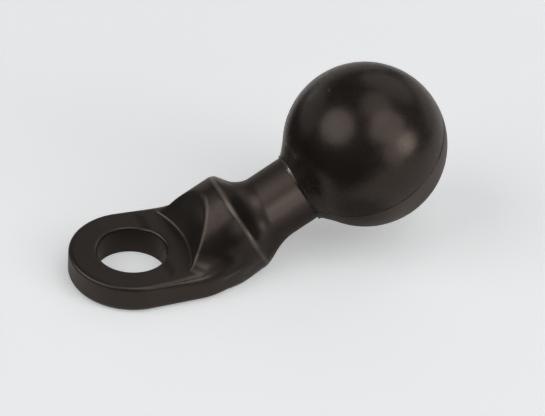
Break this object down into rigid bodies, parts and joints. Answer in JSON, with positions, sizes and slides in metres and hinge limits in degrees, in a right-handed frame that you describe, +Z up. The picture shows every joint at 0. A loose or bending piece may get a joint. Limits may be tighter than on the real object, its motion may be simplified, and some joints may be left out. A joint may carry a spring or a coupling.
{
  "type": "bolt-on ball mount base",
  "caption": "Flat bolt-on eyelet plate with an oblique neck that carries a rubber-covered ball for a clamping socket arm.",
  "frame": {"origin": "on the bolt hole's axis at the plate's bottom face", "axes": "+Z up along the bolt hole, away from the surface that the plate is bolted to; +X from the bolt hole towards the ball; the part is symmetric about the XZ plane"},
  "size_m": [0.06, 0.0254, 0.0295],
  "materials": {
    "powder_coat": "die-cast aluminium with a semi-gloss black powder coat",
    "ball_rubber": "moulded satin black rubber"
  },
  "bodies": {
    "root": {"cast_base": "powder_coat", "rubber_ball": "ball_rubber"}
  },
  "joints": []
}
